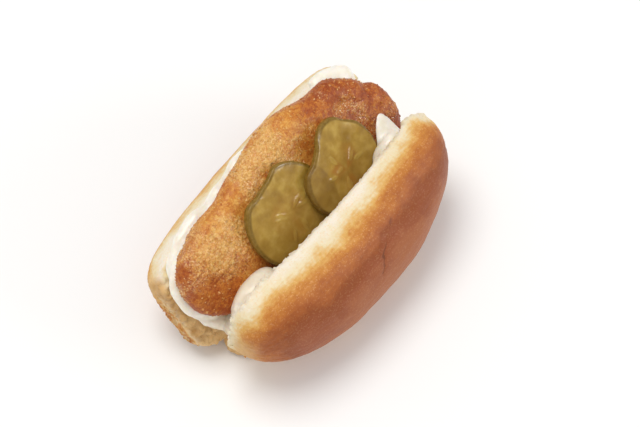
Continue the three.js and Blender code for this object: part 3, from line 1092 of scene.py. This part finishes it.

# %% [markdown]
# ## Gherkin slices
# Two slices cut across a pickled gherkin. The rind is a dark olive ring, the flesh is glassy,
# and the middle holds three groups of seeds in a softer jelly. The seeds could be pieces of
# their own, but they lie in the flesh, so they are low relief and a mark. Shade is painted on
# both: the upper slice is darker where the lower one lies behind it, as light passes through
# both, and each is darker towards the fold, in the shade of the crown's rim.

# %% Seeds
def seed_places(seed):
    """Eleven seeds in three lobes round the middle of a slice, each with a turn, a length
    and a width, in millimetres on the slice's own plane."""
    draw = np.random.default_rng(seed)
    lobe = np.repeat(np.arange(3), 4)[:11]
    angle = lobe * 2 * np.pi / 3 + 0.35 + 0.34 * draw.standard_normal(11)
    reach = 3.4 + 4.2 * draw.random(11)
    return np.stack([
        reach * np.cos(angle), reach * np.sin(angle), angle + 0.3 * draw.standard_normal(11),
        3.4 + 0.8 * draw.random(11), 1.3 + 0.4 * draw.random(11),
    ], -1)


def seed_mark(flat, seeds):
    """How much of a seed lies at each point of the slice's plane: the largest over the seeds
    of 1 inside an ellipse along the seed, falling to 0 just outside it."""
    mark = np.zeros(len(flat))
    for centre_x, centre_y, turn, length, width in seeds:
        dx, dy = flat[:, 0] - centre_x, flat[:, 1] - centre_y
        lengthwise = (dx * np.cos(turn) + dy * np.sin(turn)) / (length / 2)
        sideways = (dy * np.cos(turn) - dx * np.sin(turn)) / (width / 2)
        mark = np.maximum(mark, smooth(1.15, 0.75, np.hypot(lengthwise, sideways)))
    return mark


print("seeds in a slice:", len(seed_places(31)))


# %% The slices
def gherkin_slice(name, which, seed):
    """A slice as a piece, with relief and the marks that its material reads."""
    piece = new_piece(name, [slice_surface(which)])
    piece.data.shade_smooth()
    points, outward = points_of(piece), normals_of(piece)
    x, up, _ = leaf_place(base_leaf, points)
    flat = np.stack([x - which["x"], up - which["along"]], -1)
    reach, turn = np.hypot(flat[:, 0], flat[:, 1]), np.arctan2(flat[:, 1], flat[:, 0])
    radius = slice_radius(which, np.degrees(turn) % 360)
    face = smooth(radius - 0.2, radius - 1.2, reach)
    seeds = seed_mark(flat, seed_places(seed))
    # The core sinks a little, and its jelly darkens in a star of three arms.
    core = smooth(9.5, 6.5, reach + 0.8 * cloud(points, 3, seed + 1))
    star = 0.5 + 0.5 * np.cos(3 * turn - 1.05)
    jelly = star * smooth(-0.6, 0.5, cloud(points, 2.5, seed + 5, 2))
    relief = 0.16 * seeds * face - 0.2 * core * face + 0.10 * cloud(points, 3.5, seed + 2, 2)
    relief += 0.45 * cloud(points, 9, seed + 3) * (1 - face)
    move_points(piece, points + outward * relief[:, None])
    # Painted shade: darker where the upper slice lies over the lower one, as light passes through
    # both, and towards the fold, in the shade of the crown's rim.
    across, above = x - lower_slice["x"], up - lower_slice["along"]
    edge = slice_radius(lower_slice, np.degrees(np.arctan2(above, across)) % 360)
    doubled = smooth(0.25, -0.25, np.hypot(across, above) - edge) if which["step"] else 0 * x
    doubled = np.maximum(doubled, (0.65 - 0.4 * which["heart"]) * smooth(30, 12, up))
    paint(piece, "reach", reach / radius)
    paint(piece, "seeds", (0.2 + 0.3 * which["heart"]) * seeds * face)
    paint(piece, "core", core * (0.12 + which["heart"] * jelly))
    paint(piece, "doubled", doubled)
    return piece


lower = gherkin_slice("gherkin_slice_lower", lower_slice, 31)
upper = gherkin_slice("gherkin_slice_upper", upper_slice, 41)
print("points of a slice:", len(lower.data.vertices))

# %% [markdown]
# ## Finish of the gherkin
# Pickling turns green skin and flesh to a yellowish olive. Real glassiness would need light
# refracted through the flesh; scattering under a glossy, wet surface gives the eye the same
# and keeps the colour steady from all sides. The brine on it refracts as water does.

# %% Gherkin material
pickle, tree = new_material("pickled_gherkin")
place = add_node(tree, "TexCoord").outputs["Object"]
reach, seeds, core, doubled = (
    add_node(tree, "Attribute", attribute_name=name).outputs["Fac"]
    for name in ("reach", "seeds", "core", "doubled")
)
# Cloudy patches of 4.5 mm in the flesh, and fibres of 1.2 mm.
patch, streak = (
    add_node(tree, "TexNoise", {
        "Vector": place, "Scale": 1 / (size * MM), "Detail": 3.0,
    }).outputs["Fac"]
    for size in (4.5, 1.2)
)
gherkin_colour = add_node(tree, "ValToRGB", {"Fac": patch}, stops=[
    (0.3, "#94722a"), (0.5, "#a78538"), (0.7, "#ba9b4c"),
]).outputs["Color"]
rind_colour = add_node(tree, "ValToRGB", {"Fac": streak}, stops=[
    (0.3, "#745819"), (0.7, "#8c7030"),
]).outputs["Color"]
rind = add_node(
    tree, "MapRange", {"Value": reach, "From Min": 0.915, "From Max": 0.95},
).outputs["Result"]
# Painted shade, mixed in as a dark brown.
shade = add_node(tree, "Math", {0: doubled, 1: 0.35}, operation="MULTIPLY").outputs[0]
for mark, colour in (
    (core, linear("#a5722a")), (seeds, linear("#bca04f")), (rind, rind_colour),
    (shade, linear("#6b4a1a")),
):
    gherkin_colour = add_node(
        tree, "Mix", {0: mark, 6: gherkin_colour, 7: colour}, data_type="RGBA",
    ).outputs[2]
ripple = add_node(tree, "Bump", {"Height": streak, "Distance": 0.12 * MM, "Strength": 0.5})
shader = add_node(tree, "BsdfPrincipled", {
    "Base Color": gherkin_colour, "Roughness": 0.25, "Normal": ripple.outputs["Normal"],
    "Subsurface Weight": 0.35, "Subsurface Radius": (1.0, 0.8, 0.3), "Subsurface Scale": 2.0 * MM,
    "IOR": 1.36, "Specular IOR Level": 0.5,
})
finish_material(pickle, shader)
dress(lower, "gherkin_lower", pickle)
dress(upper, "gherkin_upper", pickle)

# %% [markdown]
# ## Mayonnaise
# A thick spread between the fillet and the bread that has been pressed out at the sides: a
# wavy bead along the far side, a blob at the top and soft dollops in the opening. A fluid
# simulation could press it out, but not to these places, so it is one body of overlapping
# lumps and ropes, fused, smoothed and swayed, and cut back from the filling.

# %% Beads of mayonnaise
# Each row: how far along the roll, up the face and behind it the middle of a bead lies, and
# its half-width there.
bead = np.array([
    [6, 46.0, -2.0, 0.9], [-5, 45.0, -1.8, 1.9], [-11, 43.4, -1.6, 1.5],
    [-17, 41.8, -1.5, 2.4], [-23, 41.0, -1.5, 1.9], [-29, 41.2, -1.5, 2.8],
    [-36, 40.3, -1.5, 2.3], [-42.5, 38, -1.5, 1.6], [-45.5, 35.5, -1.5, 2],
    [-47, 33, -1.5, 1.5], [-47.5, 30.5, -1.5, 1.1], [-48.5, 28, -1.5, 1.1],
    [-49.5, 25, -1.5, 1.5], [-49.5, 22.5, -1.5, 1.9], [-49, 20, -1.5, 1.4],
    [-48, 17, -1.5, 1.6], [-45.5, 12.5, -1.8, 2.6], [-43, 9, -2, 3.2],
    [-40.5, 6.5, -2, 2.4],
])
top_bead = np.array([
    [32.5, 45.5, -2.5, 0.9], [35.5, 44.6, -3, 1.8], [39.5, 43.4, -3.5, 2.3],
    [43, 41.4, -3.5, 2.3], [46, 38, -3.5, 1.8],
])
bead_path, top_path = (on_leaf(base_leaf, *rows[:, :3].T) for rows in (bead, top_bead))
print("widest bead, mm:", 2 * bead[:, 3].max())


# %% Body of mayonnaise
def on_top(x, y, z):
    """A place on the base leaf's face, counted from the middle of the blob at the top."""
    return on_leaf(base_leaf, mayo_top["x"] + x, mayo_top["up"] + y, mayo_top["out"] + z)


mayonnaise = new_piece("mayonnaise_spread", [
    fillet_surface(mayo_layer, 0, 60, 240),
    lump_surface([mayo_top[key] for key in ("length", "width", "height")], 2.3, on_top),
    lump_at(mayo_fold, 3.2),
    *[lump_at(dollop, 2.3) for dollop in mayo_dollops],
    flap_surface(mayo_flap),
    rope_surface(bead_path, bead[:, 3]),
    rope_surface(top_path, top_bead[:, 3], 80),
])
fuse(mayonnaise, 0.45)
soften = mayonnaise.modifiers.new("soften", "SMOOTH")
soften.iterations = 8
settle(mayonnaise)
report(mayonnaise)

# %% Sway of the surface and room for the filling
points, outward = points_of(mayonnaise), normals_of(mayonnaise)
sway = 0.4 * cloud(points, 9, 51, 2) + 0.15 * cloud(points, 3, 52)
x, up, _ = leaf_place(base_leaf, points)
sway += 0.5 * cloud(points, 2.4, 53, 2) * smooth(34, 42, -x) * smooth(22, 16, up)
move_points(mayonnaise, points + outward * sway[:, None])
fillings = [fillet_surface(fish, -0.3, 50, 200)]
fillings += [slice_surface(which, -0.1, 40, 120) for which in (lower_slice, upper_slice)]
fillings += [leaf_surface(leaf, -0.4, 80, 120) for leaf in (base_leaf, crown_leaf)]
for filling in fillings:
    cut_away(mayonnaise, [filling])
# Painted shade: deep in the opening, at the -X end behind the crown's rim, the spread is mixed
# towards a darker cream.
x, _, behind_rim = leaf_place(crown_leaf, points_of(mayonnaise))
paint(mayonnaise, "deep", 0.35 * smooth(-15, -6, behind_rim) * smooth(25, 15, x))
print("widest sway, mm:", round(float(np.abs(sway).max()), 1))

# %% [markdown]
# ## Finish of the mayonnaise
# Mayonnaise is an emulsion: fine drops of oil scatter the light inside it, so its shadows
# stay bright, and its skin is smooth and wet. Plain white would look like plaster, and pure
# gloss like plastic, so light is let in and a thin clear coat lies on a softer gloss. Its
# refraction is that of oil.

# %% Mayonnaise material
cream, tree = new_material("whisked_mayonnaise")
place = add_node(tree, "TexCoord").outputs["Object"]
soft = add_node(
    tree, "TexNoise", {"Vector": place, "Scale": 1 / (3 * MM), "Detail": 2.0},
).outputs["Fac"]
cream_colour = add_node(tree, "ValToRGB", {"Fac": soft}, stops=[
    (0.35, "#ece4d4"), (0.65, "#f6f1e6"),
]).outputs["Color"]
# Painted shade: a darker beige deep in the opening.
deep_mark = add_node(tree, "Attribute", attribute_name="deep").outputs["Fac"]
cream_colour = add_node(
    tree, "Mix", {0: deep_mark, 6: cream_colour, 7: linear("#dccaa6")}, data_type="RGBA",
).outputs[2]
soft_bump = add_node(tree, "Bump", {"Height": soft, "Distance": 0.3 * MM, "Strength": 0.3})
shader = add_node(tree, "BsdfPrincipled", {
    "Base Color": cream_colour, "Roughness": 0.3, "Normal": soft_bump.outputs["Normal"],
    "Subsurface Weight": 0.5, "Subsurface Radius": (1.0, 0.8, 0.5), "Subsurface Scale": 1.5 * MM,
    "IOR": 1.47, "Coat Weight": 0.2, "Coat Roughness": 0.15,
})
finish_material(cream, shader)
dress(mayonnaise, "mayonnaise", cream)

# %% [markdown]
# ## Studio
# White paper and a white room give the soft light of a product photograph. One big lamp
# alone would leave the near side dark, so there are four: a softbox behind and above the
# slider, whose shadows fall towards the camera, a weak fill from the left, a reflector in
# front, and a small window that is seen only as glints on what is wet.

# %% Floor
# In metres: how far the paper reaches each way, and how far it lies below the roll, so that
# the two never share a plane.
floor_reach, floor_drop = 6.0, 0.0002
corners = [(-1, -1), (1, -1), (1, 1), (-1, 1)]
floor_mesh = bpy.data.meshes.new("floor")
floor_mesh.from_pydata(
    [(floor_reach * x, floor_reach * y, -floor_drop) for x, y in corners], [], [(0, 1, 2, 3)],
)
floor = bpy.data.objects.new("floor", floor_mesh)
bpy.context.scene.collection.objects.link(floor)
# Uncoated paper: nearly white, and matte, so that it shows soft shadows and no reflection.
paper, tree = new_material("white_paper")
shader = add_node(tree, "BsdfPrincipled", {"Base Color": linear("#f7f7f7"), "Roughness": 0.9})
finish_material(paper, shader)
floor.data.materials.append(paper)
floor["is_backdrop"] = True

# %% Light of the room
world = bpy.data.worlds.new("white_room")
world.use_nodes = True
background = world.node_tree.nodes["Background"]
background.inputs["Color"].default_value = (1, 1, 1, 1)
background.inputs["Strength"].default_value = 0.58
bpy.context.scene.world = world
bpy.context.scene.view_settings.view_transform = "Standard"
print("light of the room:", round(background.inputs["Strength"].default_value, 2))


# %% Lamps
filling_middle = (0, 0, 20 * MM)


def area_lamp(name, place, size, power, colour=(1, 0.98, 0.95)):
    """A round lamp at a place in metres that looks at the filling."""
    lamp = bpy.data.lights.new(name, "AREA")
    lamp.shape, lamp.size, lamp.energy, lamp.color = "DISK", size, power, colour
    holder = bpy.data.objects.new(name, lamp)
    bpy.context.scene.collection.objects.link(holder)
    look_from(holder, place, filling_middle)
    print(f"{name}: {power} W")
    return holder


area_lamp("softbox", (-0.05, 0.25, 1.05), 0.6, 5.8)
fill = area_lamp("fill", (-0.9, -0.35, 0.4), 0.6, 1.0, (1, 0.98, 0.96))
window = area_lamp("window", (0.5, -0.7, 0.5), 0.14, 3.0, (1, 1, 1))
reflector = area_lamp("reflector", (0.45, -0.9, 0.35), 0.6, 2.9)
# The fill and the reflector would lay a milky veil on the crust, so they aren't reflected.
fill.visible_glossy = reflector.visible_glossy = False
window.visible_diffuse = False

# %% Box of the dressed model
visual_box = [list(corner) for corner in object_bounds()]
for corner in visual_box:
    print("corner of the dressed model, mm:", [round(value / MM, 1) for value in corner])
